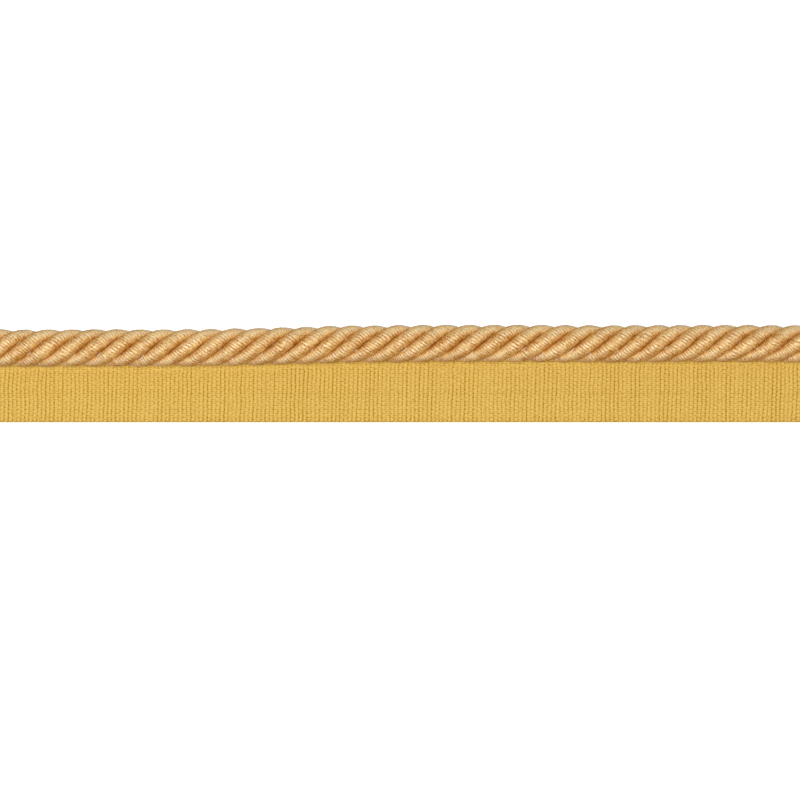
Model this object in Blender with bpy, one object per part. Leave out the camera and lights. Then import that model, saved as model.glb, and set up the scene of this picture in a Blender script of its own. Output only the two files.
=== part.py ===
"""A cut length of flanged cord: a twisted four-ply cord sewn along a ribbed tape.

The cord lies along X and the tape reaches out from under it towards -Y. The
trimming lies flat and face up, with the tape's underside on Z = 0. The origin is
at the middle of its box in X and Y.
"""

import math

import bmesh
import bpy
from mathutils import Matrix, Vector

# Driving dimensions, in metres
LENGTH = 0.150
CORD_RADIUS = 0.0032
TAPE_WIDTH = 0.0140
TAPE_THICKNESS = 0.0010
LIP_WIDTH = 0.0106
SEAT_GAP = 0.0003

# The cord: four plies, each an oval in a plane square to the cord
PLIES = 4
PLY_HALF_HEIGHT = 0.00128
PLY_HALF_WIDTH = 0.00158
PLY_CENTRE_RADIUS = CORD_RADIUS - PLY_HALF_HEIGHT
PLY_POINTS_DEG = (-96, -64, -32, 0, 32, 64, 96)
GROOVE_RADIUS = 0.00205
LEAD = 0.01675
STEPS_PER_TURN = 14
GROOVE_ON_TOP_X = 0.00206

# How far the lay runs ahead of an even one, along the cord
LAY_COLUMNS = ("x", "ahead")
LAY_ROWS = (
    (-0.0750, 0.00000),
    (-0.0650, 0.00002),
    (-0.0360, -0.00021),
    (-0.0180, 0.00008),
    (-0.0040, -0.00012),
    (0.0180, 0.00010),
    (0.0370, 0.00062),
    (0.0480, 0.00007),
    (0.0600, -0.00050),
    (0.0750, -0.00036),
)

# The cord's slow sideways drift over the straight tape
DRIFT_MIDDLE = -0.00012
DRIFT_SWING = 0.00040
DRIFT_CENTRE_X = -0.0200
DRIFT_REACH = 0.0140

# The tape's ribs, which run across its width
RIBS = 201
RIB_HEIGHT = 0.00016

# Places worked out from the sizes
DEPTH = LIP_WIDTH + 2 * CORD_RADIUS + DRIFT_MIDDLE + DRIFT_SWING
TAPE_FRONT_Y = -DEPTH / 2
TAPE_BACK_Y = TAPE_FRONT_Y + TAPE_WIDTH
CORD_Y = TAPE_FRONT_Y + LIP_WIDTH + CORD_RADIUS
CORD_Z = TAPE_THICKNESS + SEAT_GAP + CORD_RADIUS

CORD_COLOUR = (0.62, 0.36, 0.14, 1.0)
TAPE_COLOUR = (0.70, 0.44, 0.09, 1.0)


def clear_scene():
    """Remove every object that the file opened with."""
    for thing in list(bpy.data.objects):
        bpy.data.objects.remove(thing, do_unlink=True)


def cloth_material(name, colour, roughness, sheen):
    """A plain cloth finish."""
    material = bpy.data.materials.new(name)
    material.use_nodes = True
    shader = material.node_tree.nodes["Principled BSDF"]
    shader.inputs["Base Color"].default_value = colour
    shader.inputs["Roughness"].default_value = roughness
    shader.inputs["Metallic"].default_value = 0.0
    shader.inputs["Sheen Weight"].default_value = sheen
    return material


def add_part(name, bm, material, collection):
    """Turn a bmesh into a named object with its own material."""
    bmesh.ops.recalc_face_normals(bm, faces=bm.faces)
    mesh = bpy.data.meshes.new(name)
    bm.to_mesh(mesh)
    bm.free()
    mesh.materials.append(material)
    part = bpy.data.objects.new(name, mesh)
    collection.objects.link(part)
    return part


def lay_ahead(x):
    """The lay's lead over an even one at x, eased from row to row."""
    x_column = LAY_COLUMNS.index("x")
    ahead_column = LAY_COLUMNS.index("ahead")
    for left, right in zip(LAY_ROWS, LAY_ROWS[1:]):
        if x <= right[x_column]:
            break
    share = (x - left[x_column]) / (right[x_column] - left[x_column])
    share = min(max(share, 0.0), 1.0)
    eased = share * share * (3.0 - 2.0 * share)
    return left[ahead_column] + (right[ahead_column] - left[ahead_column]) * eased


def cord_drift(x):
    """The cord's offset in Y at x: one soft step."""
    return DRIFT_MIDDLE + DRIFT_SWING * math.tanh((x - DRIFT_CENTRE_X) / DRIFT_REACH)


def cord_outline():
    """The cord's section in its own YZ plane: an oval's outer side for each ply, then a groove."""
    points = []
    for ply in range(PLIES):
        turn = Matrix.Rotation(math.tau * ply / PLIES, 3, "X")
        for degrees in PLY_POINTS_DEG:
            angle = math.radians(degrees)
            across = PLY_HALF_WIDTH * math.sin(angle)
            out = PLY_CENTRE_RADIUS + PLY_HALF_HEIGHT * math.cos(angle)
            points.append(turn @ Vector((0.0, out, across)))
        half_ply = Matrix.Rotation(math.pi / PLIES, 3, "X")
        points.append(turn @ half_ply @ Vector((0.0, GROOVE_RADIUS, 0.0)))
    return points


def build_cord(collection):
    """Carry the section along the cord as it turns, then close both ends."""
    steps = round(LENGTH / LEAD * STEPS_PER_TURN)
    whole_turn = math.tau * LENGTH / LEAD

    bm = bmesh.new()
    ring = [bm.verts.new(point) for point in cord_outline()]
    edges = [bm.edges.new(pair) for pair in zip(ring, ring[1:] + ring[:1])]
    bm.faces.new(ring)
    swept = bmesh.ops.spin(
        bm,
        geom=edges,
        cent=(0.0, 0.0, 0.0),
        axis=(1.0, 0.0, 0.0),
        dvec=(LENGTH / steps, 0.0, 0.0),
        angle=-whole_turn,
        steps=steps,
    )
    last_ring = [item for item in swept["geom_last"] if isinstance(item, bmesh.types.BMVert)]
    bmesh.ops.contextual_create(bm, geom=last_ring)

    # The groove after the first ply lies on top of the cord at GROOVE_ON_TOP_X
    to_first_groove = math.pi / PLIES
    phase = math.pi / 2 - to_first_groove + math.tau * GROOVE_ON_TOP_X / LEAD
    for vert in bm.verts:
        x = vert.co.x - LENGTH / 2
        turn = phase + whole_turn / 2 + math.tau * lay_ahead(x) / LEAD
        place = Matrix.Rotation(turn, 3, "X") @ Vector((0.0, vert.co.y, vert.co.z))
        vert.co = place + Vector((x, CORD_Y + cord_drift(x), CORD_Z))
    for face in bm.faces:
        face.smooth = len(face.verts) == 4

    material = cloth_material("cord_yarn", CORD_COLOUR, roughness=0.5, sheen=0.4)
    return add_part("cord", bm, material, collection)


def build_tape(collection):
    """Draw the tape's long section with its ribs, then carry it across the width."""
    half = LENGTH / 2
    half_rib = LENGTH / (2 * RIBS)
    outline = [(half, 0.0), (-half, 0.0)]
    for place in range(2 * RIBS + 1):
        crest = place % 2 == 1
        height = TAPE_THICKNESS if crest else TAPE_THICKNESS - RIB_HEIGHT
        outline.append((-half + place * half_rib, height))

    bm = bmesh.new()
    side = bm.faces.new([bm.verts.new((x, TAPE_FRONT_Y, z)) for x, z in outline])
    swept = bmesh.ops.extrude_face_region(bm, geom=[side])
    moved = [item for item in swept["geom"] if isinstance(item, bmesh.types.BMVert)]
    bmesh.ops.translate(bm, verts=moved, vec=(0.0, TAPE_WIDTH, 0.0))

    material = cloth_material("tape_yarn", TAPE_COLOUR, roughness=0.8, sheen=0.2)
    return add_part("tape", bm, material, collection)


def main():
    clear_scene()
    collection = bpy.data.collections.new("flanged_cord_trimming")
    bpy.context.scene.collection.children.link(collection)
    build_cord(collection)
    build_tape(collection)


main()
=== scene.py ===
"""Looks of a cut length of flanged cord: four wrapped plies sewn along a ribbed tape.

The trimming lies along X, face up. The tape's lip reaches towards -Y.
Sizes are in metres and angles in radians, unless a name or comment says otherwise.
An angle about the cord starts towards +Y and turns up over the cord's top.
"""

import math

import bpy
import numpy as np
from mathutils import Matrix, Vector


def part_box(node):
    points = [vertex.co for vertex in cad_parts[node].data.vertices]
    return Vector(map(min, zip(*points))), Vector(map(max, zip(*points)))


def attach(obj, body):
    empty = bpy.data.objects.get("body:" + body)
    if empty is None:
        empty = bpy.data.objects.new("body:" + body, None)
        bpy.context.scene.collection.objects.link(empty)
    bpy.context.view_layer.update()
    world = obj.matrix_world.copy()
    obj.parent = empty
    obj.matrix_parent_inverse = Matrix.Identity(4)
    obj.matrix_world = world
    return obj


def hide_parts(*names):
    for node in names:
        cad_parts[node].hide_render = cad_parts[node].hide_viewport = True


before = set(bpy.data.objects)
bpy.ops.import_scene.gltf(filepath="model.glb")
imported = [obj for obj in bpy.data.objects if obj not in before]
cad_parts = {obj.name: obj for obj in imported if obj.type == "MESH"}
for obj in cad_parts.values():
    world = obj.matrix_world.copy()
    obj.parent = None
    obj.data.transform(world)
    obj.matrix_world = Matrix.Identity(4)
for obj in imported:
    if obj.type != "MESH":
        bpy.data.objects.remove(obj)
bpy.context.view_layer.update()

MM = 0.001
SEED = 411

# Places read from the frame
tape_low, tape_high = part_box("tape")
cord_low, cord_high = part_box("cord")
HALF_LENGTH = tape_high.x
TAPE_FRONT = tape_low.y
TAPE_BACK = tape_high.y
TAPE_TOP = tape_high.z
CORD_RADIUS = (cord_high.z - cord_low.z) / 2
CORD_Z = (cord_high.z + cord_low.z) / 2

# The cord's soft sideways step over the straight tape, and the lay of its plies
DRIFT_MIDDLE = -0.12 * MM
DRIFT_SWING = 0.40 * MM
DRIFT_CENTRE_X = -20.0 * MM
DRIFT_REACH = 14.0 * MM
CORD_Y = cord_high.y - CORD_RADIUS - DRIFT_MIDDLE - DRIFT_SWING
CORD_SWAY = 0.05 * MM
PLIES = 4
LEAD = 16.75 * MM
GROOVE_ON_TOP_X = 2.06 * MM

# How far the lay runs ahead of an even one: place along the cord and distance, in mm
LAY_ROWS = (
    (-75.0, 0.00),
    (-65.0, 0.02),
    (-36.0, -0.21),
    (-18.0, 0.08),
    (-4.0, -0.12),
    (18.0, 0.10),
    (37.0, 0.62),
    (48.0, 0.07),
    (60.0, -0.50),
    (75.0, -0.36),
)

# One ply: a circle with fuller shoulders beside the grooves and an inner side that fills
# the cord's middle. Both are placed by angles around the ply, off its outermost line
PLY_RADIUS = 1.28 * MM
PLY_CENTRE_RADIUS = CORD_RADIUS - PLY_RADIUS
PLY_SIDES = 28
PLY_UNEVENNESS = 0.035
PLY_CLEARANCE = 0.015 * MM
PATH_TO_LENGTH = math.hypot(1.0, math.tau * PLY_CENTRE_RADIUS / LEAD)
SHOULDER = 0.09 * MM
SHOULDER_SPAN = (0.3, 1.7)
SHOULDER_WAVE = 2.24
SHOULDER_START = 0.67
INNER_START = 1.9
INNER_GAP = 0.08 * MM
CUT_RINGS = (0.86, 0.62, 0.34)
CUT_BULGE = 0.22 * MM

# The yarns wrapped closely round each ply, side by side
WRAP_YARNS = 5
WRAP_PITCH = 0.456 * MM
WRAP_SAMPLES = 6
WRAP_HEIGHT = 0.075 * MM
WRAP_SUNK = 0.6
WRAP_ROUNDNESS = 1.1
WRAP_KINDS = 2048
WRAP_SIZES = (0.45, 1.20)
WRAP_SLACK = 0.22
FLANK_START = 1.1
FLANK_REACH = 0.7
FLANK_FLATTER = 0.55
FLANK_RAISED = 0.35

# How far the wraps stray, in wraps: slowly along the ply and quickly all over it. The
# second number is added where the wrapping is loose, around one place along the cord
STRAY_SLOWLY = (0.6, 0.5)
STRAY_QUICKLY = (0.14, 0.16)
LOOSE_CENTRE_X = 62.0 * MM
LOOSE_REACH = 11.0 * MM

# How far the cord is drawn out sideways, round an angle about it: by the sewing, just
# under its widest line towards the lip, and a little all along its back
PULLS = (
    (math.radians(208.0), math.radians(17.0), -0.36 * MM),
    (math.radians(0.0), math.radians(45.0), 0.12 * MM),
)

# The tape: stout ribs across its width, covered by fine yarns that run along it
RIBS = 201
RIB_PITCH = 2 * HALF_LENGTH / RIBS
RIB_SAMPLES = 4
RIB_DEPTH = 0.14 * MM
RIB_ROUNDNESS = 0.45
RIB_LEAN = 0.025
FLOAT_PITCH = 0.7193 * MM
FLOAT_SAMPLES = 4
FLOAT_NOTCH = 0.06 * MM
NOTCH_WIDTH = 0.17
NOTCH_UNEVENNESS = 0.25
FIRST_FLOAT = 0.21 * MM
LAST_FLOAT = 0.12 * MM
EDGE_BULGE = 0.05 * MM
EDGE_LINE = 0.30 * MM
UNDERSIDE_ROWS = 7

# The tape's long edges, top to bottom: distance inward in mm and share of the height
EDGE_ROUNDING = ((0.00, 0.70), (-0.02, 0.35), (0.06, 0.00))

# How far the weave strays: ribs that bend, yarns that the sewing pulls or slackens within
# a band at the seam, and a top that swells. The ribs stay straight at the cut ends
RIB_BEND = 0.10 * MM
SEAM_PULL = 0.13 * MM
SEAM_SLACK = 0.09 * MM
SEAM_BAND = 1.3 * MM
SEAM_BAND_AT = 0.5 * MM
TOP_SWELL = 0.03 * MM
CUT_END_REACH = 2.0 * MM

# The tape's hidden margin is drawn up under the cord, and further where a groove faces it
SEAT_RISE = 0.34 * MM
SEAT_IN_GROOVES = 0.95 * MM
SEAT_BAND = (CORD_Y - 1.6 * MM, CORD_Y - 0.4 * MM)

# How long a tube's uv is from end to end
TUBE_UV_LENGTH = 20.0

# Clear sewing thread. Front stitches lie in the grooves on the cord's lip side, low ones
# run from there down to the lip, and back ones lie behind. A row of the first two is a
# share of the stitch's reach and a depth below its distance from the cord's axis, in mm.
# The pairs in degrees are the ends of a random range of angles about the cord
THREAD_RADIUS = 0.07 * MM
THREAD_SIDES = 6
STITCH_SAMPLES = 22
FRONT_MIDDLES_DEG = (110.0, 152.0)
FRONT_REACHES_DEG = (2.0, 10.0)
FRONT_LIFTS_MM = (-0.45, 0.55)
FRONT_FROM_AXIS = 2.34
FRONT_STITCH = (
    (1.9, 0.85),
    (1.2, 0.30),
    (0.6, 0.02),
    (0.0, 0.0),
    (-0.6, 0.02),
    (-1.2, 0.30),
    (-1.9, 0.85),
)
LOW_STARTS_DEG = (150.0, 166.0)
LOW_LIFTS_MM = (-0.10, 0.12)
LOW_FROM_AXIS = 2.42
LOW_STITCH = ((0.0, 0.75), (0.25, 0.20), (0.6, 0.0), (1.0, 0.0))
LOW_WIDENS = 0.25
LOW_END = math.radians(192.0)

# A row of the back stitch is an angle about the cord and a distance from its axis, in mm
BACK_STITCH = (
    (math.radians(-74.0), 2.55),
    (math.radians(-60.0), 2.45),
    (math.radians(-42.0), 2.40),
    (math.radians(-30.0), 1.75),
)

# Fine tape yarns pulled up along the seam: how far each lies below it
LOOP_ROWS = (0.14 * MM, 0.44 * MM, 0.76 * MM)
LOOP_RADIUS = 0.085 * MM
LOOP_SIDES = 6
LOOP_STEP = 0.12 * MM
LOOP_RISE = 0.16 * MM
LOOP_END = 0.6 * MM

# Loose filaments that stand a little off the plies
FILAMENTS = 3600
FILAMENT_RADIUS = 0.022 * MM
FILAMENT_SIDES = 3
FILAMENT_SAMPLES = 6
FILAMENT_LIFT = 0.06 * MM
FILAMENT_LENGTHS_MM = (0.3, 1.3)
FILAMENT_AROUND = 1.7
FILAMENT_LEAN = 0.55
FILAMENT_END = 1.5 * MM

# Colours, as red, green and blue
WRAP_SHADE = (0.47, 0.165, 0.006)
WRAP_SILK = (0.97, 0.71, 0.36)
# Painted highlight colour of the wraps' glints
WRAP_PAINTED_GLINT = (1.0, 0.86, 0.62)
# Colours of painted shade in the grooves, one for each side of a ply
GROOVE_SHADE_SIDES = ((0.77, 0.37, 0.055), (0.93, 0.45, 0.03))
CUT_FIBRE = ((0.66, 0.30, 0.05), (1.0, 0.66, 0.24))
LOOSE_FIBRE = ((0.66, 0.36, 0.10), (0.97, 0.76, 0.44))
TAPE_YARN = ((0.44, 0.20, 0.001), (0.79, 0.535, 0.132))
LOOP_YARN = ((0.50, 0.24, 0.004), (0.92, 0.69, 0.17))
CLEAR_NYLON = (1.0, 0.92, 0.78)
WARM_GLOSS = (1.0, 0.93, 0.80)
WARM_SHEEN = (1.0, 0.85, 0.60)
FLOOR_GREY = (0.30, 0.30, 0.30)
WHITE = (1.0, 1.0, 1.0)

# Random curves are laid out this far each way, and a field's rows draw seeds of their own
WANDER_SPAN = 0.1
ROW_SEEDS = 1000
ROW_SEED_STEP = 97


def ease_between(x, knots, values):
    """Values at x, going from knot to knot with a smooth start and stop (3s^2 - 2s^3)."""
    knots = np.asarray(knots)
    values = np.asarray(values)
    left = np.clip(np.searchsorted(knots, x) - 1, 0, len(knots) - 2)
    share = np.clip((x - knots[left]) / (knots[left + 1] - knots[left]), 0.0, 1.0)
    return values[left] + (values[left + 1] - values[left]) * share**2 * (3.0 - 2.0 * share)


def wander(x, reach, seed):
    """A smooth random curve from -1 to 1: random values a reach apart, eased between."""
    random = np.random.default_rng(SEED + seed)
    knots = np.arange(-WANDER_SPAN, WANDER_SPAN + reach, reach)
    return ease_between(x, knots, random.uniform(-1.0, 1.0, len(knots)))


def wander_over(x, y, reach_x, reach_y, seed):
    """A smooth random field from -1 to 1: curves along x, a reach_y apart, blended across y."""
    row = y / reach_y
    low = np.floor(row).astype(int)
    share = row - low
    share = share**2 * (3.0 - 2.0 * share)
    field = np.zeros(np.broadcast(x, y).shape)
    x = np.broadcast_to(x, field.shape)
    for step in np.unique(np.concatenate([low.ravel(), low.ravel() + 1])):
        curve = wander(x, reach_x, seed + ROW_SEED_STEP * (int(step) % ROW_SEEDS))
        weight = np.where(low == step, 1.0 - share, np.where(low + 1 == step, share, 0.0))
        field = field + curve * weight
    return field


def cord_drift(x):
    """The cord's offset in Y: one soft step, a hyperbolic tangent of x."""
    return DRIFT_MIDDLE + DRIFT_SWING * np.tanh((x - DRIFT_CENTRE_X) / DRIFT_REACH)


def lay_angle(x):
    """How far the lay has turned about the cord at x: a full turn back for each lead."""
    rows = np.array(LAY_ROWS) * MM
    even_x = x - ease_between(x, rows[:, 0], rows[:, 1])
    on_top = math.pi / 2 - math.pi / PLIES
    return on_top - math.tau * (even_x - GROOVE_ON_TOP_X) / LEAD


def joined(x, y, z):
    """Points from three arrays of coordinates that fit together by broadcasting."""
    return np.stack(np.broadcast_arrays(x, y, z), -1)


def add_mesh(name, points, faces, uv=None, values=None):
    """A smooth mesh object from arrays.

    points has three columns. faces and uv are lists of arrays, each of which holds faces
    with one count of corners. values names one number a point, for the material to read.
    """
    mesh = bpy.data.meshes.new(name)
    corners = np.concatenate([part.ravel() for part in faces])
    sizes = np.concatenate([np.full(len(part), part.shape[1]) for part in faces])
    starts = np.concatenate([[0], np.cumsum(sizes)[:-1]])
    mesh.vertices.add(len(points))
    mesh.vertices.foreach_set("co", np.ascontiguousarray(points, dtype=np.float32).ravel())
    mesh.loops.add(len(corners))
    mesh.loops.foreach_set("vertex_index", corners.astype(np.int32))
    mesh.polygons.add(len(sizes))
    mesh.polygons.foreach_set("loop_start", starts.astype(np.int32))
    mesh.update(calc_edges=True)
    if uv is not None:
        layer = mesh.uv_layers.new(name="yarn")
        flat = np.concatenate([part.reshape(-1, 2) for part in uv])
        layer.data.foreach_set("uv", flat.astype(np.float32).ravel())
    for label, numbers in (values or {}).items():
        attribute = mesh.attributes.new(label, "FLOAT", "POINT")
        attribute.data.foreach_set("value", numbers.astype(np.float32))
    mesh.shade_smooth()
    made = bpy.data.objects.new(name, mesh)
    bpy.context.scene.collection.objects.link(made)
    return made


def ring_faces(rings, sides):
    """Quads between closed rings whose points are numbered ring by ring."""
    ring = np.arange(rings - 1)[:, None] * sides
    here = np.arange(sides)[None, :]
    after = (here + 1) % sides
    quads = np.stack([ring + here, ring + after, ring + sides + after, ring + sides + here], -1)
    return quads.reshape(-1, 4)


def ring_uv(u, v):
    """The quads' uv from grids that hold one more point around than the rings do."""
    at = np.stack([u, v], -1)
    quads = np.stack([at[:-1, :-1], at[:-1, 1:], at[1:, 1:], at[1:, :-1]], 2)
    return quads.reshape(-1, 4, 2)


def wrap_phase(centre_x, around, ply):
    """Wraps counted from the cord's middle.

    It is the ply's path length over WRAP_PITCH, less WRAP_YARNS for each time around, plus
    the random straying. The wraps stray more where a Gauss curve of x says they are loose.
    """
    path = centre_x * PATH_TO_LENGTH
    loose = np.exp(-(((centre_x - LOOSE_CENTRE_X) / LOOSE_REACH) ** 2))
    slowly = STRAY_SLOWLY[0] + STRAY_SLOWLY[1] * loose
    quickly = STRAY_QUICKLY[0] + STRAY_QUICKLY[1] * loose
    stray = slowly * wander(centre_x, 2.3 * MM, seed=31 + ply)
    stray = stray + quickly * wander_over(centre_x, around, 0.8 * MM, 1.1, seed=5003 + ply)
    return path / WRAP_PITCH - WRAP_YARNS * around / math.tau + stray


def wrap_height(phase, around, ply):
    """The wraps' relief: a round rib for each, which is a power of a sine of the phase.

    The ribs are flatter down the ply's sides. Each has its own height, and rises and sinks
    a little around the ply as a sine.
    """
    rib = np.abs(np.sin(math.pi * phase)) ** WRAP_ROUNDNESS
    flank = np.clip((np.abs(around) - FLANK_START) / FLANK_REACH, 0.0, 1.0)
    rib = rib * (1.0 - FLANK_FLATTER * flank) + FLANK_RAISED * flank
    number = np.floor(phase).astype(int)
    random = np.random.default_rng(SEED + 5 * ply)
    size = random.uniform(*WRAP_SIZES, WRAP_KINDS)[number % WRAP_KINDS]
    slack = random.uniform(0.0, math.tau, WRAP_KINDS)[number % WRAP_KINDS]
    return WRAP_HEIGHT * rib * (size + WRAP_SLACK * np.sin(3.0 * around + slack))


def ply_surface(x, around, ply):
    """One ply's surface at x, for angles around it, as (points, wraps counted).

    Its section is a circle of PLY_RADIUS plus the wraps, with a squared sine added for the
    shoulders and a square for the inner side. It is carried square to a helix of
    PLY_CENTRE_RADIUS, so each ring lies in one plane square to the cord. Where it would
    pass the plane halfway to the next ply it is pressed flat against that plane. Last, it
    is drawn out in Y by each of PULLS, a Gauss curve of the angle about the cord.
    """
    slope = math.atan(math.tau * PLY_CENTRE_RADIUS / LEAD)
    centre_x = x - PLY_RADIUS * np.sin(around) * math.sin(slope)
    phase = wrap_phase(centre_x, around, ply)
    radius = PLY_RADIUS * (1.0 + PLY_UNEVENNESS * wander(centre_x, 3.1 * MM, seed=11 + ply))
    radius = radius - WRAP_SUNK * WRAP_HEIGHT + wrap_height(phase, around, ply)
    off_line = np.abs(around)
    shoulder = np.clip(off_line, *SHOULDER_SPAN) * SHOULDER_WAVE - SHOULDER_START
    radius = radius + SHOULDER * np.sin(shoulder) ** 2
    inner = np.clip((off_line - INNER_START) / (math.pi - INNER_START), 0.0, 1.0) ** 2
    radius = radius + (PLY_CENTRE_RADIUS - PLY_RADIUS - INNER_GAP) * inner

    turn = math.tau * ply / PLIES
    angle = lay_angle(centre_x) + turn
    out = radius * np.cos(around)
    side = radius * np.sin(around) * math.cos(slope)
    y = (PLY_CENTRE_RADIUS + out) * np.cos(angle) - side * np.sin(angle)
    z = (PLY_CENTRE_RADIUS + out) * np.sin(angle) + side * np.cos(angle)

    middle = lay_angle(x) + turn
    outward = y * np.cos(middle) + z * np.sin(middle)
    across = z * np.cos(middle) - y * np.sin(middle)
    half = math.pi / PLIES
    spare = outward * math.sin(half) - np.abs(across) * math.cos(half)
    press = np.maximum(PLY_CLEARANCE - spare, 0.0)
    outward = outward + press * math.sin(half)
    across = across - np.sign(across) * press * math.cos(half)

    y = outward * np.cos(middle) - across * np.sin(middle)
    z = outward * np.sin(middle) + across * np.cos(middle)
    place = np.arctan2(z, y)
    for at, reach, pull in PULLS:
        off_pull = (place - at + math.pi) % math.tau - math.pi
        y = y + pull * np.exp(-((off_pull / reach) ** 2))
    y = y + CORD_Y + cord_drift(x) + CORD_SWAY * wander(x, 9.0 * MM, seed=71)
    return joined(x, y, z + CORD_Z), phase


def ply_centre(x, ply):
    """The ply's middle in the plane at x, as three coordinates."""
    angle = lay_angle(x) + math.tau * ply / PLIES
    y = CORD_Y + cord_drift(x) + PLY_CENTRE_RADIUS * np.cos(angle)
    return np.array([x, y, CORD_Z + PLY_CENTRE_RADIUS * np.sin(angle)])


def cut_end(ring, end_x, ply):
    """Rings that close a cut end: the last ring drawn in to the ply's middle as a low dome."""
    centre = ply_centre(end_x, ply)
    outward = math.copysign(1.0, end_x)
    rings = []
    for share in CUT_RINGS:
        drawn = centre + (ring - centre) * share
        drawn[:, 0] += outward * CUT_BULGE * (1.0 - share**2)
        rings.append(drawn)
    pole = centre + np.array([outward * CUT_BULGE, 0.0, 0.0])
    return rings, pole


def build_ply(ply):
    """One wrapped ply from cut end to cut end."""
    steps = round(2 * HALF_LENGTH * PATH_TO_LENGTH / WRAP_PITCH * WRAP_SAMPLES)
    x = np.linspace(-HALF_LENGTH, HALF_LENGTH, steps + 1)[:, None]
    around = np.linspace(-math.pi, math.pi, PLY_SIDES + 1)[None, :]
    points, phase = ply_surface(x, around, ply)
    body = points[:, :-1]

    first_rings, first_pole = cut_end(body[0], -HALF_LENGTH, ply)
    last_rings, last_pole = cut_end(body[-1], HALF_LENGTH, ply)
    rings = np.stack([*first_rings[::-1], *body, *last_rings])
    count = len(rings)
    extra = len(CUT_RINGS)
    u = np.concatenate([[phase[0]] * extra, phase, [phase[-1]] * extra])
    v = np.broadcast_to(around / math.tau, u.shape)

    quads = ring_faces(count, PLY_SIDES)
    here = np.arange(PLY_SIDES)
    after = (here + 1) % PLY_SIDES
    last = (count - 1) * PLY_SIDES
    first_pole_at = count * PLY_SIDES
    last_pole_at = first_pole_at + 1
    fan_first = np.stack([np.full(PLY_SIDES, first_pole_at), after, here], -1)
    fan_last = np.stack([np.full(PLY_SIDES, last_pole_at), last + here, last + after], -1)
    fans = np.concatenate([fan_first, fan_last])
    fan_uv = np.zeros((len(fans), 3, 2))

    cut = np.zeros(count * PLY_SIDES + 2)
    cut[: (extra - 1) * PLY_SIDES] = 1.0
    cut[(count - extra + 1) * PLY_SIDES :] = 1.0
    flat = np.concatenate([rings.reshape(-1, 3), [first_pole, last_pole]])
    across = (flat[:, 1] - CORD_Y - cord_drift(flat[:, 0])) / CORD_RADIUS
    return add_mesh(
        f"ply_{ply + 1}",
        flat,
        [quads, fans],
        uv=[ring_uv(u, v), fan_uv],
        values={"cut": cut, "across": across},
    )


def tape_rows():
    """Places across the tape's top, back to front, as (y, floats counted)."""
    width = TAPE_BACK - FIRST_FLOAT - TAPE_FRONT - LAST_FLOAT
    count = np.arange(math.floor(width / FLOAT_PITCH * FLOAT_SAMPLES) + 1) / FLOAT_SAMPLES
    return TAPE_BACK - FIRST_FLOAT - count * FLOAT_PITCH, count


def rib_crest(ribs):
    """The ribs' rounded shape: a power of a sine, 0 in the valleys and 1 on the crests."""
    return np.abs(np.sin(math.pi * ribs)) ** RIB_ROUNDNESS


def float_notch(ribs, floats):
    """The little valleys between floats: a Gauss curve, 1 at the bottom.

    They are half a float apart on neighbouring ribs.
    """
    rounding = 1e-6
    offset = 0.5 * (np.floor(ribs + rounding) % 2)
    nearest = np.abs((floats + offset + 0.5) % 1.0 - 0.5)
    return np.exp(-((nearest / NOTCH_WIDTH) ** 2))


def seat_rise(x, y):
    """How far the tape is drawn up under the cord: evenly, and more where a groove faces it.

    The extra part is a fourth power of the sine of the angle about the cord less the
    lay angle, with one wave for each ply.
    """
    angle = (y - CORD_Y - cord_drift(x)) / CORD_RADIUS - math.pi / 2
    in_groove = np.sin(0.5 * PLIES * (angle - lay_angle(x))) ** 4
    under_cord = ease_between(y, SEAT_BAND, (0.0, 1.0))
    return under_cord * (SEAT_RISE + SEAT_IN_GROOVES * in_groove)


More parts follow.
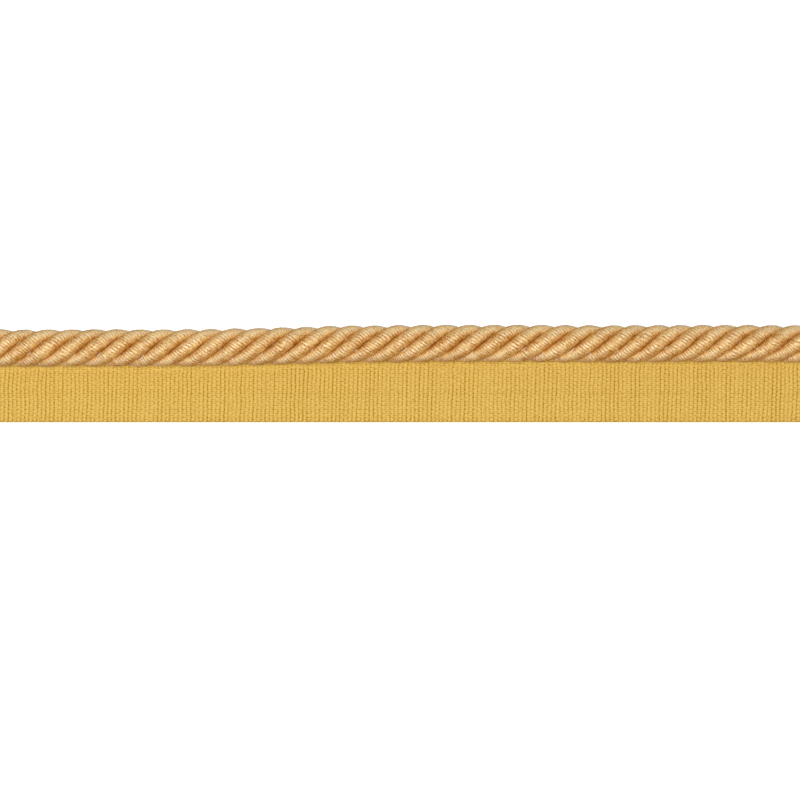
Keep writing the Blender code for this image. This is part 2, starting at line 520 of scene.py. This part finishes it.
def build_tape():
    """The tape as a closed section carried along X, with a flat underside.

    Its top is TAPE_TOP less the ribs' valleys and the floats' notches, plus a random swell
    and the seat under the cord. The ribs lean and bend, and its yarns are pulled and
    slackened by random fields within a Gauss curve of the distance to the seam.
    """
    columns = RIBS * RIB_SAMPLES + 1
    ribs = np.arange(columns)[:, None] / RIB_SAMPLES
    x = -HALF_LENGTH + ribs * RIB_PITCH
    rows, floats = tape_rows()
    rows = rows[None, :]
    floats = floats[None, :]

    inside = np.clip((HALF_LENGTH - np.abs(x)) / CUT_END_REACH, 0.0, 1.0)
    seam = CORD_Y + cord_drift(x) - CORD_RADIUS
    near_seam = np.exp(-(((rows - seam + SEAM_BAND_AT) / SEAM_BAND) ** 2))
    bend = RIB_BEND * wander_over(x, rows, 3.1 * MM, 2.6 * MM, seed=301)
    bend = bend + RIB_LEAN * (rows - TAPE_FRONT)
    pulled = SEAM_PULL * near_seam * wander_over(x, rows, 1.15 * MM, 0.5 * MM, seed=907)
    slack = SEAM_SLACK * near_seam * wander_over(x, rows, 0.9 * MM, 0.6 * MM, seed=1511)

    crest = rib_crest(ribs)
    notch = float_notch(ribs, floats)
    firm = 1.0 + NOTCH_UNEVENNESS * wander_over(x, rows, 1.7 * MM, 1.2 * MM, seed=2203)
    top_z = TAPE_TOP - RIB_DEPTH * (1.0 - crest) - FLOAT_NOTCH * notch * crest * firm
    top_z = top_z + TOP_SWELL * wander_over(x, rows, 6.0 * MM, 5.0 * MM, seed=3301)
    top_z = top_z + seat_rise(x, rows)
    top = joined(x + (bend + pulled) * inside, rows + slack, top_z)

    bulge = EDGE_BULGE * crest
    back_height = TAPE_TOP + seat_rise(x, TAPE_BACK)
    edge_front = [
        joined(x, TAPE_FRONT + inward * MM - bulge, TAPE_TOP * share)
        for inward, share in EDGE_ROUNDING
    ]
    under_y = np.linspace(TAPE_FRONT, TAPE_BACK, UNDERSIDE_ROWS + 2)[1:-1]
    under = [joined(x, y, 0.0) for y in under_y]
    edge_back = [
        joined(x, TAPE_BACK - inward * MM + bulge, back_height * share)
        for inward, share in reversed(EDGE_ROUNDING)
    ]
    section = np.concatenate([top, *edge_front, *under, *edge_back], 1)
    sides = section.shape[1]

    quads = ring_faces(columns, sides)
    first = np.arange(sides)[None, ::-1]
    last = ((columns - 1) * sides + np.arange(sides))[None, :]
    steps_down = np.linalg.norm(np.diff(section[0], axis=0), axis=1)
    length_down = np.concatenate([[0.0], np.cumsum(steps_down)])
    last_row = len(floats[0]) - 1
    below_top = (length_down[last_row + 1 :] - length_down[last_row]) / FLOAT_PITCH
    run = np.concatenate([floats[0], floats[0, -1] + below_top])
    run = np.concatenate([run, [run[-1] + 0.5]])
    u = np.broadcast_to(ribs, (columns, sides + 1))
    v = np.broadcast_to(run[None, :], (columns, sides + 1))
    last_uv = np.stack([section[0][:, 2] / RIB_PITCH, run[:-1]], -1)[None]
    first_uv = last_uv[:, ::-1]
    return add_mesh(
        "tape_weave",
        section.reshape(-1, 3),
        [quads, first, last],
        uv=[ring_uv(u, v), first_uv, last_uv],
    )


def tubes(paths, radius, sides):
    """Round tubes along many paths at once, closed at both ends by a flat face.

    paths is (tubes, points, 3). Each ring is a circle square to the path there. The result
    is points, faces and uv, as add_mesh takes them.
    """
    tangent = np.gradient(paths, axis=1)
    tangent = tangent / np.linalg.norm(tangent, axis=-1, keepdims=True)
    guide = np.array([0.31, -0.52, 0.79])
    normal = np.cross(tangent, guide)
    normal = normal / np.linalg.norm(normal, axis=-1, keepdims=True)
    binormal = np.cross(tangent, normal)
    turn = np.arange(sides) * math.tau / sides
    spoke = normal[:, :, None] * np.cos(turn)[:, None]
    spoke = spoke + binormal[:, :, None] * np.sin(turn)[:, None]
    rings = paths[:, :, None] + radius * spoke

    count, length = paths.shape[:2]
    base = (np.arange(count) * length * sides)[:, None]
    quads = (ring_faces(length, sides)[None] + base[:, :, None]).reshape(-1, 4)
    first = base + np.arange(sides)[None, ::-1]
    last = base + (length - 1) * sides + np.arange(sides)[None, :]

    along = np.linspace(0.0, 1.0, length)[:, None] + np.zeros(sides + 1)
    around = np.linspace(0.0, 1.0, sides + 1)[None, :] + np.zeros((length, 1))
    quad_uv = np.tile(ring_uv(around, along * TUBE_UV_LENGTH), (count, 1, 1))
    ends_uv = np.zeros((2 * count, sides, 2))
    return rings.reshape(-1, 3), [quads, np.concatenate([first, last])], [quad_uv, ends_uv]


def groove_point(x_on_top, angle, radius):
    """A point at an angle about the cord, in the groove that crosses its top at x_on_top."""
    x = x_on_top - (angle - math.pi / 2) * LEAD / math.tau
    y = CORD_Y + cord_drift(x) + radius * np.cos(angle)
    return np.stack([x, y, CORD_Z + radius * np.sin(angle)], -1)


def groove_places():
    """Where grooves cross the cord's top, read from the lay angle: one for each ply a turn."""
    samples = 20001
    x = np.linspace(-HALF_LENGTH, HALF_LENGTH, samples)
    count = (lay_angle(x) - lay_angle(GROOVE_ON_TOP_X)) / (math.tau / PLIES)
    whole = np.arange(math.ceil(count.min()), math.floor(count.max()) + 1)
    return np.interp(-whole, -count, x)


def smooth_paths(points, samples):
    """Even samples of a smooth curve through each path's points (a Catmull-Rom cubic)."""
    count = points.shape[1]
    at = np.linspace(0, count - 1, samples)
    low = np.clip(np.floor(at).astype(int), 0, count - 2)
    share = (at - low)[None, :, None]
    before = points[:, np.clip(low - 1, 0, count - 1)]
    start = points[:, low]
    end = points[:, low + 1]
    after = points[:, np.clip(low + 2, 0, count - 1)]
    bend = 2 * before - 5 * start + 4 * end - after
    curl = 3 * (start - end) + after - before
    return start + 0.5 * share * ((end - before) + share * (bend + share * curl))


def within(paths, margin):
    """The paths that stay a margin or more inside both cut ends."""
    return paths[np.abs(paths[:, :, 0]).max(1) < HALF_LENGTH - margin]


def build_sewing():
    """Clear thread in three kinds of stitch, each a smooth curve along a groove of the cord.

    Front ones show in the grooves and dive between the plies. Low ones come down from there
    to the lip, and back ones come up from the tape's back edge.
    """
    random = np.random.default_rng(SEED + 77)
    tops = groove_places()
    tops = tops[(tops > -HALF_LENGTH + 1.5 * MM) & (tops < HALF_LENGTH - 4.0 * MM)]
    count = len(tops)
    middle = np.radians(random.uniform(*FRONT_MIDDLES_DEG, count))
    reach = np.radians(random.uniform(*FRONT_REACHES_DEG, count))
    lift = random.uniform(*FRONT_LIFTS_MM, count) * MM
    front = [
        groove_point(tops, middle + share * reach, (FRONT_FROM_AXIS - sunk) * MM + lift)
        for share, sunk in FRONT_STITCH
    ]

    low = []
    lift = random.uniform(*LOW_LIFTS_MM, count) * MM
    start = np.radians(random.uniform(*LOW_STARTS_DEG, count))
    for share, sunk in LOW_STITCH:
        angle = start + share * (LOW_END - start)
        from_axis = LOW_FROM_AXIS - sunk + LOW_WIDENS * share
        low.append(groove_point(tops, angle, from_axis * MM + lift))
    foot = low[-1].copy()
    foot[:, 0] -= random.uniform(0.1, 0.5, count) * MM
    foot[:, 1] -= 0.25 * MM
    foot[:, 2] = TAPE_TOP - 0.10 * MM
    low.append(foot)

    back = [
        groove_point(tops, np.full(count, angle), from_axis * MM)
        for angle, from_axis in BACK_STITCH
    ]
    foot = back[0].copy()
    foot[:, 1] = TAPE_BACK - random.uniform(0.5, 0.8, count) * MM
    foot[:, 2] = TAPE_TOP - 0.15 * MM
    back.insert(0, foot)

    front, low, back = [
        smooth_paths(np.stack(stitch, 1), STITCH_SAMPLES) for stitch in (front, low, back)
    ]
    paths = within(np.concatenate([front, low, within(back, 1.0 * MM)]), 0.5 * MM)
    points, faces, uv = tubes(paths, THREAD_RADIUS, THREAD_SIDES)
    return add_mesh("clear_sewing_thread", points, faces, uv=uv)


def build_seam_loops():
    """Fine tape yarns that the sewing pulls up beside the cord.

    Each runs along X and wanders in Y and Z. It rises over the ribs as a cosine, half a
    rib apart on neighbouring rows, so it shows as short bright dashes.
    """
    reach = HALF_LENGTH - LOOP_END
    steps = round(2 * reach / LOOP_STEP)
    x = np.linspace(-reach, reach, steps + 1)
    seam = CORD_Y + cord_drift(x) - CORD_RADIUS
    paths = []
    for row, below_seam in enumerate(LOOP_ROWS):
        y = seam - below_seam + 0.08 * MM * wander(x, 0.45 * MM, seed=801 + row)
        y = y + 0.12 * MM * wander(x, 2.7 * MM, seed=841 + row)
        count = x / RIB_PITCH + 0.5 * row + 0.22 * wander(x, 1.9 * MM, seed=881 + row)
        sunk = (0.03 + 0.015 * row) * MM
        z = TAPE_TOP - sunk + LOOP_RISE * np.cos(math.tau * count)
        z = z + 0.06 * MM * wander(x, 1.3 * MM, seed=871 + row)
        paths.append(np.stack([x, y, z], -1))
    points, faces, uv = tubes(np.stack(paths), LOOP_RADIUS, LOOP_SIDES)
    return add_mesh("seam_loops", points, faces, uv=uv)


def build_filaments():
    """Short loose filaments of the wrapping yarn, more or less along the wraps.

    Each runs straight over the ply's unrolled surface, and its middle is lifted off that
    surface as half a sine.
    """
    random = np.random.default_rng(SEED + 191)
    share = np.linspace(0.0, 1.0, FILAMENT_SAMPLES)[None, :]
    furthest = HALF_LENGTH - FILAMENT_END
    one_each = (FILAMENTS // PLIES, 1)
    paths = []
    for ply in range(PLIES):
        start_x = random.uniform(-furthest, furthest, one_each)
        start_around = random.uniform(-FILAMENT_AROUND, FILAMENT_AROUND, one_each)
        length = random.uniform(*FILAMENT_LENGTHS_MM, one_each) * MM
        lean = random.normal(0.0, FILAMENT_LEAN, one_each)
        around = start_around + length * np.cos(lean) / PLY_RADIUS * share
        x = start_x + length * np.sin(lean) * share
        surface, _phase = ply_surface(x, around, ply)
        centre = np.moveaxis(ply_centre(x, ply), 0, -1)
        lift = FILAMENT_LIFT * random.uniform(0.15, 1.0, one_each) * np.sin(math.pi * share)
        paths.append(centre + (surface - centre) * (1.0 + lift / PLY_RADIUS)[:, :, None])
    points, faces, uv = tubes(np.concatenate(paths), FILAMENT_RADIUS, FILAMENT_SIDES)
    return add_mesh("loose_filaments", points, faces, uv=uv)


def feed(tree, target, inputs):
    """Feed a node. inputs pairs a socket's name or number with a value, colour or output."""
    for socket, value in inputs:
        if isinstance(value, bpy.types.NodeSocket):
            tree.links.new(value, target.inputs[socket])
        elif target.inputs[socket].type == "RGBA":
            target.inputs[socket].default_value = (*value, 1.0)
        else:
            target.inputs[socket].default_value = value


def node(tree, kind, inputs=(), **settings):
    """Add a shader node with its settings, and feed it."""
    made = tree.nodes.new(kind)
    for name, value in settings.items():
        setattr(made, name, value)
    feed(tree, made, inputs)
    return made


def calc(tree, operation, *values):
    """A Math node's result."""
    return node(tree, "ShaderNodeMath", list(enumerate(values)), operation=operation).outputs[0]


def total(tree, *values):
    """The values added up, one after the other."""
    result = values[0]
    for value in values[1:]:
        result = calc(tree, "ADD", result, value)
    return result


def product(tree, *values):
    """The values multiplied, one after the other."""
    result = values[0]
    for value in values[1:]:
        result = calc(tree, "MULTIPLY", result, value)
    return result


def spread(tree, value, low, high, to_low=0.0, to_high=1.0):
    """A Map Range node's result: low to high becomes to_low to to_high, clamped."""
    limits = (("From Min", low), ("From Max", high), ("To Min", to_low), ("To Max", to_high))
    made = node(tree, "ShaderNodeMapRange", (("Value", value), *limits))
    return made.outputs["Result"]


def noise(tree, place, scale, detail=2.0):
    """A Noise Texture's value at a place. scale is how many soft spots there are to a metre."""
    inputs = (("Vector", place), ("Scale", scale), ("Detail", detail))
    return node(tree, "ShaderNodeTexNoise", inputs).outputs[0]


def random_tone(tree, number):
    """A random value from 0 to 1 for each whole number."""
    made = node(tree, "ShaderNodeTexWhiteNoise", (("W", number),), noise_dimensions="1D")
    return made.outputs["Value"]


def object_place(tree):
    """The place on the object, in metres."""
    return node(tree, "ShaderNodeTexCoord").outputs["Object"]


def point_value(tree, name):
    """A number that the mesh holds for each point."""
    return node(tree, "ShaderNodeAttribute", attribute_name=name).outputs["Fac"]


def split(tree, coordinates):
    """The three numbers in coordinates."""
    return node(tree, "ShaderNodeSeparateXYZ", ((0, coordinates),)).outputs


def blend_colours(tree, share, first, second):
    """A colour between two, by share."""
    inputs = ((0, share), (6, first), (7, second))
    return node(tree, "ShaderNodeMix", inputs, data_type="RGBA").outputs[2]


def new_group(name, inputs, outputs):
    """An empty shader group with float sockets, but for those named Coordinates."""
    group = bpy.data.node_groups.new(name, "ShaderNodeTree")
    for direction, labels in (("INPUT", inputs), ("OUTPUT", outputs)):
        for label in labels:
            kind = "NodeSocketVector" if label.endswith("Coordinates") else "NodeSocketFloat"
            group.interface.new_socket(name=label, in_out=direction, socket_type=kind)
    return group, group.nodes.new("NodeGroupInput"), group.nodes.new("NodeGroupOutput")


def yarn_group():
    """Yarn seen close: a tone for each yarn and along it, a rounded crest, and its fibres."""
    group, source, result = new_group(
        "yarn_detail",
        ("Yarn Coordinates", "Slub Length", "Fibres", "Twist"),
        ("Tone", "Crest", "Fibre Height"),
    )
    across, along, _unused = split(group, source.outputs["Yarn Coordinates"])
    number = calc(group, "FLOOR", across)
    crest = calc(group, "SINE", product(group, calc(group, "FRACT", across), math.pi))

    stretched = calc(group, "DIVIDE", along, source.outputs["Slub Length"])
    spot = node(group, "ShaderNodeCombineXYZ", ((0, across), (1, stretched), (2, number)))
    slubs = node(
        group,
        "ShaderNodeTexNoise",
        (("Vector", spot.outputs[0]), ("Scale", 1.0), ("Detail", 2.0), ("Roughness", 0.6)),
    )
    tone = product(group, random_tone(group, number), 0.35)
    tone = total(group, tone, spread(group, slubs.outputs[0], 0.30, 0.70, 0.0, 0.65))
    tone = spread(group, tone, 0.0, 1.0, 0.34, 1.0)

    leaning = total(group, across, product(group, along, source.outputs["Twist"]))
    fibre = product(group, leaning, source.outputs["Fibres"])
    spot = node(group, "ShaderNodeCombineXYZ", ((0, fibre), (1, stretched), (2, number)))
    fibre_height = noise(group, spot.outputs[0], scale=1.0, detail=1.0)
    feed(group, result, (("Tone", tone), ("Crest", crest), ("Fibre Height", fibre_height)))
    return group


def start_material(name):
    """An empty node material: itself, its tree, its shader, and the piece's own uv."""
    material = bpy.data.materials.new(name)
    material.use_nodes = True
    tree = material.node_tree
    shader = tree.nodes["Principled BSDF"]
    uv = node(tree, "ShaderNodeUVMap", uv_map="yarn").outputs["UV"]
    return material, tree, shader, uv


def yarn_node(tree, group, coordinates, slub, fibres, twist):
    """The yarn group in a material, with its own values: its tone, crest and fibre height."""
    made = tree.nodes.new("ShaderNodeGroup")
    made.node_tree = group
    feed(
        tree,
        made,
        (
            ("Yarn Coordinates", coordinates),
            ("Slub Length", slub),
            ("Fibres", fibres),
            ("Twist", twist),
        ),
    )
    return made.outputs["Tone"], made.outputs["Crest"], made.outputs["Fibre Height"]


def link_bump(tree, shader, height, distance, strength):
    """Bump from a height, linked to the shader's normal."""
    inputs = (("Height", height), ("Distance", distance), ("Strength", strength))
    bump = node(tree, "ShaderNodeBump", inputs)
    tree.links.new(bump.outputs[0], shader.inputs["Normal"])


def wrapped_yarn_material(group):
    """Silky old-gold yarn wrapped round each ply, with pale fibre at a cut end.

    The hollows between the wraps are darkened as painted shade, and short painted glints lie on
    them.
    The colour deepens down a ply's sides to the grooves, and where the ply tucks in at the lip, as
    painted shade. Along the cord's back the yarn is painted paler, as painted light, with less
    painted shade in the grooves, and it is more speckled there.
    """
    material, tree, shader, uv = start_material("wrapped_yarn")
    circumference = math.tau * PLY_RADIUS / WRAP_PITCH
    coordinates = node(
        tree, "ShaderNodeVectorMath", ((0, uv), (1, (1.0, circumference, 1.0))), operation="MULTIPLY"
    ).outputs[0]
    tone, crest, fibres = yarn_node(tree, group, coordinates, slub=1.1, fibres=3.0, twist=0.35)
    place = object_place(tree)
    patches = noise(tree, place, scale=260.0)
    breaks = noise(tree, place, scale=1100.0, detail=1.0)
    grain = noise(tree, place, scale=3000.0, detail=1.0)
    speckle = noise(tree, place, scale=5200.0, detail=1.0)

    # Across is -1 at the cord's lip side and 1 at its back, and side is turns round the ply
    across = point_value(tree, "across")
    side = split(tree, uv)[1]
    around = calc(tree, "ABSOLUTE", side)
    # Painted light along the cord's back: paler yarn and less painted shade in the grooves there.
    # The speckle is also coarser there
    back_light_and_speckle = spread(tree, across, 0.42, 0.82)
    # Painted shade where a ply tucks in at the lip, at the grooves' lower ends
    painted_tuck_shade = product(tree, spread(tree, across, -0.76, -0.95), spread(tree, around, 0.08, 0.20))

    # How far the surface falls away from the line of the ply that lies uppermost. This fall darkens
    # the yarn as painted shade down the ply's sides
    off_crest = total(tree, side, spread(tree, across, -1.0, 1.0, 0.14, -0.14))
    other_way = product(tree, off_crest, -1.0)
    off_crest = calc(tree, "MAXIMUM", total(tree, off_crest, 0.03), other_way)
    painted_fall_shade = spread(tree, off_crest, 0.04, 0.22)
    # Painted shade down a ply's sides into the grooves, less of it along the cord's back
    flank = spread(tree, around, 0.16, 0.25)
    flank = product(tree, flank, spread(tree, back_light_and_speckle, 0.0, 1.0, 1.0, 0.2))
    flank = calc(tree, "MAXIMUM", flank, product(tree, painted_fall_shade, 0.6))
    crest = product(tree, crest, spread(tree, flank, 0.0, 1.0, 1.0, 0.35))

    # Painted shade in the hollows between the wraps
    painted_hollow_shade = spread(tree, crest, 0.30, 1.0, 0.62, 0.0)
    painted_hollow_shade = product(tree, painted_hollow_shade, spread(tree, breaks, 0.40, 0.60, 0.25, 1.2))
    # Painted glints: short bright dashes of painted highlight on the wraps' crests
    painted_glint = product(tree, spread(tree, breaks, 0.49, 0.60), spread(tree, crest, 0.60, 0.95))
    # Painted light that lifts the lower part of the grooves, towards the lip
    painted_low_groove_light = spread(tree, around, 0.05, 0.20, -0.06, 0.28)
    coarser = spread(tree, back_light_and_speckle, 0.0, 1.0, 1.0, 2.2)
    # Light: the yarn's own tone, with painted shade and painted light added to it
    light = total(
        tree,
        product(tree, tone, calc(tree, "SUBTRACT", 1.13, painted_hollow_shade)),
        product(tree, painted_glint, product(tree, tone, 0.48)),
        product(tree, painted_fall_shade, -0.18),
        spread(tree, fibres, 0.30, 0.70, -0.24, 0.24),
        spread(tree, patches, 0.35, 0.65, -0.10, 0.10),
        product(tree, back_light_and_speckle, 0.42),
        product(tree, painted_tuck_shade, -0.80),
        product(tree, spread(tree, across, -0.35, -0.62), painted_low_groove_light),
        product(tree, spread(tree, grain, 0.35, 0.65, -0.12, 0.12), coarser),
    )

    silk = blend_colours(tree, product(tree, painted_glint, 0.6), WRAP_SILK, WRAP_PAINTED_GLINT)
    # The grooves' deeper colours are painted shade
    in_groove = blend_colours(tree, spread(tree, side, -0.1, 0.1), *GROOVE_SHADE_SIDES)
    silk = blend_colours(tree, flank, silk, in_groove)
    colour = blend_colours(tree, light, WRAP_SHADE, silk)
    ends = blend_colours(tree, spread(tree, speckle, 0.35, 0.65), *CUT_FIBRE)
    colour = blend_colours(tree, point_value(tree, "cut"), colour, ends)
    feed(
        tree,
        shader,
        (
            ("Base Color", colour),
            ("Roughness", spread(tree, crest, 0.2, 0.9, 0.75, 0.50)),
            ("Metallic", 0.12),
            ("Specular IOR Level", 0.25),
            ("Specular Tint", WARM_GLOSS),
            ("Sheen Weight", 0.06),
            ("Sheen Roughness", 0.4),
            ("Sheen Tint", WARM_SHEEN),
        ),
    )
    height = total(tree, crest, product(tree, fibres, 0.3))
    link_bump(tree, shader, height, distance=0.08 * MM, strength=0.8)
    return material


def filament_material():
    """Fine silky filament, the colour of the wrapping yarn."""
    material, tree, shader, _uv = start_material("filament")
    each = noise(tree, object_place(tree), scale=1500.0)
    colour = blend_colours(tree, spread(tree, each, 0.35, 0.65), *LOOSE_FIBRE)
    feed(tree, shader, (("Base Color", colour), ("Roughness", 0.45)))
    return material


def tape_material(group):
    """Matt yellow-gold weave: pale floats over stout ribs, deeper gold in the valleys as painted
    shade.
    """
    material, tree, shader, uv = start_material("tape_weave")
    ribs, floats, _unused = split(tree, uv)
    offset = product(tree, calc(tree, "MODULO", calc(tree, "FLOOR", ribs), 2.0), 0.5)
    turned = node(tree, "ShaderNodeCombineXYZ", ((0, total(tree, floats, offset)), (1, ribs)))
    tone, crest, fibres = yarn_node(
        tree, group, turned.outputs[0], slub=0.8, fibres=5.0, twist=0.25
    )
    place = object_place(tree)
    patches = noise(tree, place, scale=700.0)
    grain = noise(tree, place, scale=4200.0, detail=1.0)

    # The dark line in each valley is painted shade, with a depth of its own
    valley = calc(tree, "ROUND", ribs)
    off_valley = calc(tree, "PINGPONG", ribs, 0.5)
    depth = spread(tree, random_tone(tree, valley), 0.0, 1.0, 0.50, 0.95)
    depth = product(tree, depth, spread(tree, patches, 0.38, 0.62, 0.70, 1.3))
    line = product(tree, spread(tree, off_valley, 0.24, 0.06), depth)

    # The rows of floats and their pairs, and each float's rounded cell, whose darker edges are
    # painted shade
    off_row = calc(tree, "PINGPONG", product(tree, floats, 2.0), 0.5)
    off_pair = calc(tree, "PINGPONG", floats, 0.5)
    rows = spread(tree, off_row, 0.05, 0.40, 0.0, 0.24)
    rows = total(tree, rows, spread(tree, off_pair, 0.1, 0.4, 0.0, 0.16))
    cell = product(tree, spread(tree, crest, 0.0, 0.50, 0.62, 1.0), total(tree, rows, 0.65))
    raised = product(tree, calc(tree, "SUBTRACT", 1.0, product(tree, line, 0.8)), cell)
    # Painted highlight along the middle of each rib's crest
    painted_rib_highlight = product(tree, spread(tree, off_valley, 0.22, 0.46), spread(tree, crest, 0.5, 1.0))

    # Dark dots of painted shade in the valleys between floats, half a float apart on neighbouring
    # ribs
    dot_offset = product(tree, calc(tree, "MODULO", valley, 2.0), 0.5)
    off_dot = calc(tree, "PINGPONG", total(tree, floats, dot_offset), 0.5)
    painted_dot_shade = product(tree, spread(tree, off_valley, 0.18, 0.02), spread(tree, off_dot, 0.30, 0.08))

    # A thin darker line along the lip's free edge
    from_front = calc(tree, "SUBTRACT", split(tree, place)[1], TAPE_FRONT + EDGE_LINE)
    off_line = calc(tree, "ABSOLUTE", from_front)

    light = total(
        tree,
        product(tree, raised, 0.72),
        product(tree, tone, 0.38),
        product(tree, painted_rib_highlight, product(tree, tone, 0.35)),
        spread(tree, grain, 0.35, 0.65, -0.34, 0.30),
        product(tree, painted_dot_shade, calc(tree, "POWER", depth, 2.0), -1.0),
        spread(tree, patches, 0.35, 0.65, -0.08, 0.08),
        spread(tree, off_line, 0.0, 0.16 * MM, -0.12, 0.0),
    )
    feed(
        tree,
        shader,
        (
            ("Base Color", blend_colours(tree, light, *TAPE_YARN)),
            ("Roughness", spread(tree, tone, 0.0, 1.0, 0.85, 0.65)),
            ("Specular IOR Level", 0.12),
        ),
    )
    height = total(tree, raised, product(tree, fibres, 0.4))
    link_bump(tree, shader, height, distance=0.06 * MM, strength=0.7)
    return material


def pulled_yarn_material(group):
    """The tape's own yellow-gold yarn, seen loop by loop beside the cord."""
    material, tree, shader, uv = start_material("pulled_yarn")
    tone, _crest, fibres = yarn_node(tree, group, uv, slub=0.3, fibres=3.0, twist=0.5)
    colour = blend_colours(tree, spread(tree, tone, 0.1, 0.9, 0.45, 1.0), *LOOP_YARN)
    feed(tree, shader, (("Base Color", colour), ("Roughness", 0.7), ("Specular IOR Level", 0.25)))
    link_bump(tree, shader, fibres, distance=0.03 * MM, strength=0.6)
    return material


def clear_thread_material():
    """Clear nylon thread: smooth, slightly warm and a little see-through, with small scuffs."""
    material, tree, shader, _uv = start_material("clear_thread")
    scuffs = noise(tree, object_place(tree), scale=3000.0)
    feed(
        tree,
        shader,
        (
            ("Roughness", spread(tree, scuffs, 0.3, 0.7, 0.08, 0.25)),
            ("Base Color", CLEAR_NYLON),
            ("Transmission Weight", 0.10),
            ("IOR", 1.53),
        ),
    )
    return material


def floor_material():
    """A plain pale floor: white in the picture, while it throws little light back on the piece."""
    material = bpy.data.materials.new("pale_floor")
    material.use_nodes = True
    tree = material.node_tree
    seen = node(tree, "ShaderNodeLightPath").outputs["Is Camera Ray"]
    feed(
        tree,
        tree.nodes["Principled BSDF"],
        (
            ("Base Color", FLOOR_GREY),
            ("Roughness", 0.9),
            ("Emission Color", WHITE),
            ("Emission Strength", spread(tree, seen, 0.0, 1.0, 0.10, 1.0)),
        ),
    )
    return material


def add_floor():
    """A wide floor just under the tape."""
    reach = 2.0
    corners = [(-reach, -reach), (reach, -reach), (reach, reach), (-reach, reach)]
    points = np.array([(x, y, -0.02 * MM) for x, y in corners])
    made = add_mesh("floor", points, [np.array([[0, 1, 2, 3]])])
    made.data.materials.append(floor_material())


def add_light(name, place, target, size, watts):
    """A square soft light that faces a target."""
    data = bpy.data.lights.new(name, "AREA")
    data.size = size
    data.energy = watts
    made = bpy.data.objects.new(name, data)
    bpy.context.scene.collection.objects.link(made)
    made.location = place
    aim = np.array(target) - np.array(place)
    tilt = math.acos(-aim[2] / np.linalg.norm(aim))
    made.rotation_euler = (tilt, 0.0, math.atan2(-aim[0], aim[1]))


def add_studio():
    """Even soft light: a pale sky all round, and one light nearly overhead, a little left."""
    world = bpy.data.worlds.new("soft_sky")
    world.use_nodes = True
    sky = world.node_tree.nodes["Background"]
    feed(world.node_tree, sky, (("Color", WHITE), ("Strength", 0.30)))
    bpy.context.scene.world = world
    add_light("softbox", (-0.12, -0.02, 1.0), target=(0.0, 0.0, 0.0), size=0.30, watts=7.9)
    bpy.context.scene.view_settings.view_transform = "Standard"


def add_camera():
    """Straight above the trimming, as in the photo: 142.4 mm of it across the frame."""
    pixels = 800
    pixel = 0.178 * MM
    cord_axis_row = 344.8
    true_scale_z = CORD_Z + 0.8 * CORD_RADIUS
    data = bpy.data.cameras.new("camera")
    data.lens = 150.0
    data.sensor_width = 36.0
    data.clip_end = 50.0
    made = bpy.data.objects.new("camera", data)
    bpy.context.scene.collection.objects.link(made)
    distance = pixels * pixel * data.lens / data.sensor_width
    centre_y = CORD_Y - (pixels / 2 - cord_axis_row) * pixel
    made.location = (0.0, centre_y, true_scale_z + distance)
    bpy.context.scene.camera = made


def finish_piece(piece, material, node_name):
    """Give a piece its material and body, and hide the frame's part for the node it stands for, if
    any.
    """
    piece.data.materials.append(material)
    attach(piece, "root")
    if node_name:
        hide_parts(node_name)


def main():
    add_camera()
    group = yarn_group()
    wrapped = wrapped_yarn_material(group)
    for ply in range(PLIES):
        finish_piece(build_ply(ply), wrapped, "cord")

    weave = build_tape()
    finish_piece(weave, tape_material(group), "tape")
    loops = build_seam_loops()
    finish_piece(loops, pulled_yarn_material(group), None)
    finish_piece(build_sewing(), clear_thread_material(), None)
    finish_piece(build_filaments(), filament_material(), None)
    add_floor()
    add_studio()


main()
